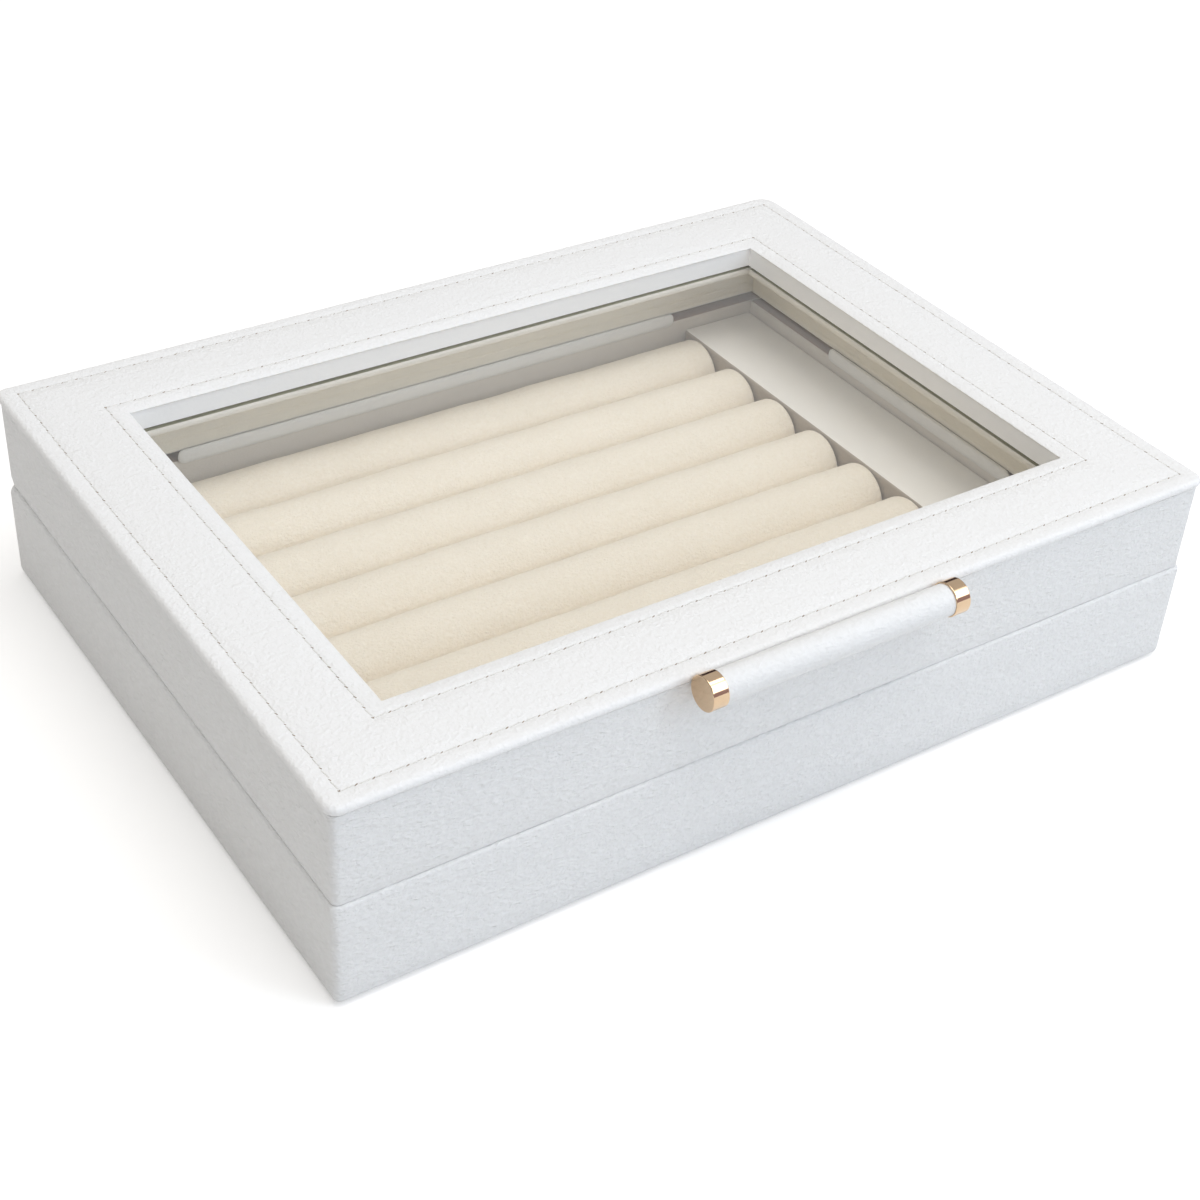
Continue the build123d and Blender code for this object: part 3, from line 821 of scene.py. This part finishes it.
def makeRoll(number, v):
    low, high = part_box(f"ring_roll_{number}")
    radius = (high.y - low.y) / 2
    middle = Vector(((low.x + high.x) / 2, (low.y + high.y) / 2, high.z - radius))
    straight = (high.x - low.x) / 2 - v["crown"]
    piece = addRod(f"ringRoll{number}", v["sides"], radius, 2 * straight, middle)
    startEdit(piece)
    for s in (-1, 1):
        pickFaces(piece, lambda c, n: n.x * s > squarely
                  and (c.x - middle.x) * s > straight - 0.1 * mm)
        for width, share in v["dome"]:
            bpy.ops.mesh.inset(thickness=width, depth=v["crown"] * share)
    pickEdges(piece, lambda c, d, e: isFold(e, 80))
    bpy.ops.mesh.bevel(offset=v["endRound"], segments=6, affect="EDGES")
    cutAt(axes[0], steps(-straight + v["endClear"], straight - v["endClear"], v["grid"]))
    bpy.ops.mesh.select_all(action="SELECT")
    bpy.ops.mesh.bisect(plane_co=(0, 0, low.z), plane_no=(0, 0, -1), use_fill=True,
                        clear_outer=True)
    endEdit()
    ripple(piece, v["ripple"], v["rippleSize"])
    smooth(piece, 60)
    return piece


for number in range(1, 9):
    piece = makeRoll(number, roll)
    dress(piece, rollVelvet, "roll_velvet", "base", f"ring_roll_{number}")
print("ring box: rolls done")


handle = {
    "y": -98.0 * mm, "z": 55.4 * mm, "radius": 4.0 * mm, "half": 36.4 * mm, "sides": 44,
    "grid": 4 * mm, "ripple": 0.22 * mm, "rippleSize": 12 * mm, "tabHalf": 32.4 * mm,
    "tabBack": -87.0 * mm, "tabLow": 54.1 * mm, "tabHigh": 55.08 * mm,
}


def makeHandle(v):
    piece = addRod("handleRoll", v["sides"], v["radius"], 2 * v["half"], (0, v["y"], v["z"]))
    tab = addBlock("tab", (-v["tabHalf"], v["y"], v["tabLow"]),
                   (v["tabHalf"], v["tabBack"], v["tabHigh"]))
    for part, half in ((piece, v["half"]), (tab, v["tabHalf"])):
        startEdit(part)
        cutAt(axes[0], steps(-half, half, v["grid"]))
        endEdit()
    combine(piece, tab, "UNION")
    ripple(piece, v["ripple"], v["rippleSize"])
    smooth(piece, 50)
    return piece


handleRoll = makeHandle(handle)
dress(handleRoll, handleLeatherette, "leatherette", "lid", "handle_wrap")
print("ring box: handle done")


studio = {
    "coolSide": (0.45, -0.89, 0.0), "coolColour": (0.565, 0.61, 0.70),
    "warmColour": (0.485, 0.455, 0.395),
    "mirrorLow": (0.11, 0.085, 0.10), "mirrorHigh": (0.95, 0.95, 0.95),
    "mirrorSteps": (0.32, 0.38), "mirrorWindow": (0.68, 0.8, 0.65, 3.6),
    "floorColour": (0.86, 0.85, 0.835), "floorFade": (0.5, 2.6, 0.32, 0.85), "floorSize": 6.0,
    "floorDrop": 0.05 * mm, "floorMottle": 0.995, "floorGlossyShare": 0.5,
}
lamps = {
    "overheadSoftbox": {"place": (0.15, -0.18, 1.40), "size": (1.1, 1.1), "watts": 9.9,
                        "colour": (1.0, 0.98, 0.955), "mirrored": True},
    "frontSoftbox": {"place": (0.72, -1.05, 0.80), "size": (0.45, 1.2), "watts": 4.85,
                     "colour": (0.785, 0.895, 1.0), "mirrored": False},
}
lampTarget = (0, 0, 0.03)


def addFade(owner, source, fade):
    # fade holds where it starts and ends, and the values there
    low, high, lowValue, highValue = fade
    return addRange(owner, source, interpolation_type="SMOOTHSTEP", From_Min=low, From_Max=high,
                    To_Min=lowValue, To_Max=highValue)


def makeFloor(v):
    # pale paper that fades to white with distance where the camera or glass looks at it
    bpy.ops.object.select_all(action="DESELECT")
    bpy.ops.mesh.primitive_plane_add(size=v["floorSize"], location=(0, 0, -v["floorDrop"]))
    floor = bpy.context.object
    floor.name = floor.data.name = "studioFloor"
    m, out = startMaterial("floorPaper")
    place = (addNode(m, "TexCoord"), "Object")
    mottle = addNoise(m, place, Scale=6.0, Detail=2.0)
    mottled = [c * v["floorMottle"] for c in v["floorColour"]]
    paper = addNode(m, "BsdfDiffuse")
    wire(m, blendColour(m, mottle, mottled, v["floorColour"]), (paper, "Color"))
    path = addNode(m, "LightPath")
    clear = addMath(m, "MAXIMUM", (path, "Is Camera Ray"), (path, "Is Transmission Ray"))
    mirrored = addMath(m, "MULTIPLY", (path, "Is Glossy Ray"), v["floorGlossyShare"])
    away = addNode(m, "VectorMath", operation="LENGTH")
    wire(m, place, (away, "Vector"))
    lift = addFade(m, (away, "Value"), v["floorFade"])
    glow = addNode(m, "Emission")
    seen = addMath(m, "MAXIMUM", clear, mirrored)
    wire(m, addMath(m, "MULTIPLY", seen, lift), (glow, "Strength"))
    both = addNode(m, "AddShader")
    wire(m, (paper, "BSDF"), (both, 0))
    wire(m, (glow, "Emission"), (both, 1))
    wire(m, (both, "Shader"), (out, "Surface"))
    floor.data.materials.append(m)


def makeWorld(v):
    # a pale room with a cool window side and a warm far side, white where the camera or glass
    # looks at it; polished metal shows a dark far wall and a bright window over it
    world = bpy.data.worlds.new("studioAir")
    bpy.context.scene.world = world
    world.use_nodes = True
    world.node_tree.nodes.clear()
    place = (addNode(world, "TexCoord"), "Generated")
    toCool = addNode(world, "VectorMath", operation="DOT_PRODUCT")
    toCool.inputs[1].default_value = v["coolSide"]
    wire(world, place, (toCool, 0))
    share = addRange(world, (toCool, "Value"), From_Min=-1.0)
    height = addNode(world, "SeparateXYZ")
    wire(world, place, (height, "Vector"))
    room, mirror = (addNode(world, "Background") for _ in range(2))
    wire(world, blendColour(world, share, v["warmColour"], v["coolColour"]), (room, "Color"))
    wire(world, blendColour(world, (height, "Z"), v["mirrorLow"], v["mirrorHigh"],
                            v["mirrorSteps"]), (mirror, "Color"))
    wire(world, addFade(world, share, v["mirrorWindow"]), (mirror, "Strength"))
    white = addNode(world, "Background", Color=(1, 1, 1, 1))
    path = addNode(world, "LightPath")
    seen = addMath(world, "MAXIMUM", (path, "Is Camera Ray"), (path, "Is Transmission Ray"))
    lit = mixShaders(world, (path, "Is Glossy Ray"), (room, 0), (mirror, 0))
    shown = mixShaders(world, seen, lit, (white, 0))
    wire(world, shown, (addNode(world, "OutputWorld"), "Surface"))


def addLamp(name, v):
    bpy.ops.object.light_add(type="AREA", location=v["place"])
    lamp = bpy.context.object
    lamp.name = name
    lamp.data.shape = "RECTANGLE"
    lamp.data.size, lamp.data.size_y = v["size"]
    lamp.data.energy = v["watts"]
    lamp.data.color = v["colour"]
    aim = Vector(lampTarget) - lamp.location
    lamp.rotation_euler = aim.to_track_quat("-Z", "Y").to_euler()
    lamp.visible_glossy = lamp.visible_transmission = v["mirrored"]


makeFloor(studio)
makeWorld(studio)
for name, values in lamps.items():
    addLamp(name, values)

view = {"place": (-259.33 * mm, -366.88 * mm, 334.97 * mm), "turn": (53.606, -2.957, -33.503),
        "lens": 61.33, "sensor": 36, "nearest": 0.01}
turn = [math.radians(a) for a in view["turn"]]
bpy.ops.object.camera_add(location=view["place"], rotation=turn)
camera = bpy.context.object
camera.data.lens = view["lens"]
camera.data.sensor_width = view["sensor"]
camera.data.clip_start = view["nearest"]
bpy.context.scene.camera = camera
bpy.context.scene.view_settings.view_transform = "Standard"
print("ring box: studio ready")

print("ring box: all done")
